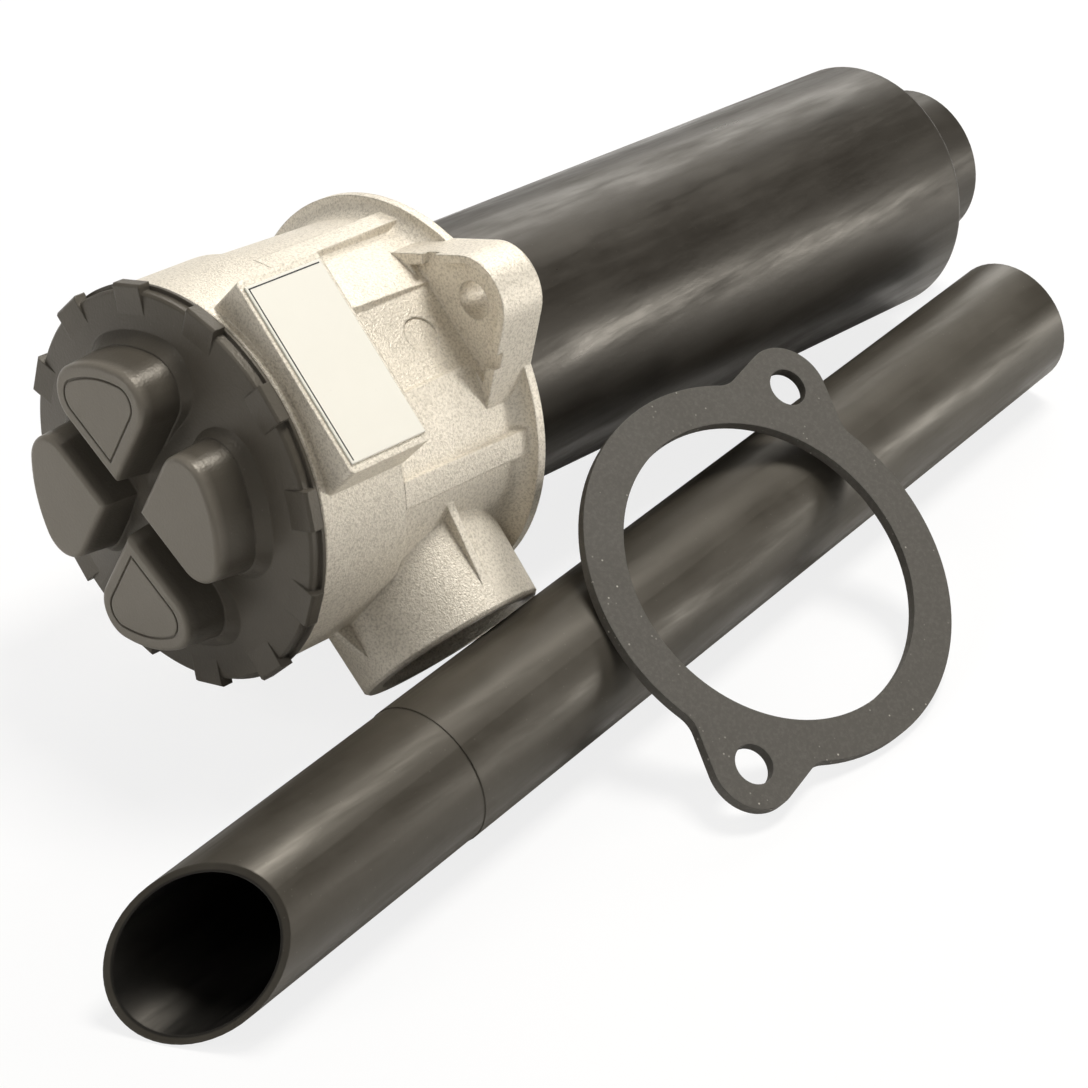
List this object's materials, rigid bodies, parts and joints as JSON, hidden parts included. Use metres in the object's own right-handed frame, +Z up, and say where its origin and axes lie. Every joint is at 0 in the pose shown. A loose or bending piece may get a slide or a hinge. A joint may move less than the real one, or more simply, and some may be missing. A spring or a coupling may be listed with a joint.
{
  "type": "tank-top return line filter",
  "caption": "Tank-top return line filter lying on its side: cast head with a lobed screw cap, long bowl, loose flange gasket and drop tube.",
  "frame": {"origin": "on the floor, under the middle of the bounding box of the filter, its gasket and its drop tube", "axes": "+Z up; +X along the length, from the screw cap towards the outlet; +Y towards the side away from the port, tube and gasket"},
  "size_m": [0.395, 0.1978, 0.125],
  "materials": {
    "cast_alloy": "sand-blasted, unpainted die casting",
    "cap_polymer": "fine matt moulding",
    "bowl_polymer": "satin moulding",
    "tube_polymer": "satin extrusion",
    "gasket_sheet": "matt, dusty",
    "plate_film": "satin off-white",
    "seal_rubber": "satin",
    "spring_steel": "drawn wire",
    "plated_steel": "zinc-plated sheet",
    "valve_polymer": "moulded",
    "pleat_fibre": "woven support over fibre"
  },
  "bodies": {
    "filter_body": {"filter_head": "cast_alloy", "id_plate": "plate_film", "hold_down_spring": "spring_steel", "element_top_cap": "plated_steel", "element_foot_cap": "plated_steel", "element_foot_seal": "seal_rubber", "element_core": "plated_steel", "pleated_medium": "pleat_fibre", "element_handle": "spring_steel", "bypass_cage": "valve_polymer", "bypass_spring": "spring_steel", "bowl": "bowl_polymer", "bowl_seal": "seal_rubber", "retaining_ring": "plated_steel", "flange_gasket": "gasket_sheet", "drop_tube": "tube_polymer"},
    "cap_carrier": {"thrust_washer": "plated_steel"},
    "cap": {"screw_cap": "cap_polymer", "cap_seal": "seal_rubber"},
    "bypass_valve": {"bypass_poppet": "valve_polymer"}
  },
  "joints": [
    {"name": "cap_lift", "type": "slide", "parent": "filter_body", "child": "cap_carrier", "axis": [-0.9946, 0, 0.1036], "range_m": [0, 0.014]},
    {"name": "cap_turn", "type": "hinge", "parent": "cap_carrier", "child": "cap", "pos_m": [-0.03032, 0.0455, 0.05761], "axis": [-0.9946, 0, 0.1036], "range_deg": [0, 840.1]},
    {"name": "bypass_open", "type": "slide", "parent": "filter_body", "child": "bypass_valve", "axis": [0.9946, 0, -0.1036], "range_m": [0, 0.006], "stiffness_N_per_m": 60, "springref_m": -0.006, "deforming": ["bypass_spring"]}
  ],
  "couplings": [
    {"joint": "cap_turn", "follows": "cap_lift", "rad_per_m": 1047.2}
  ]
}
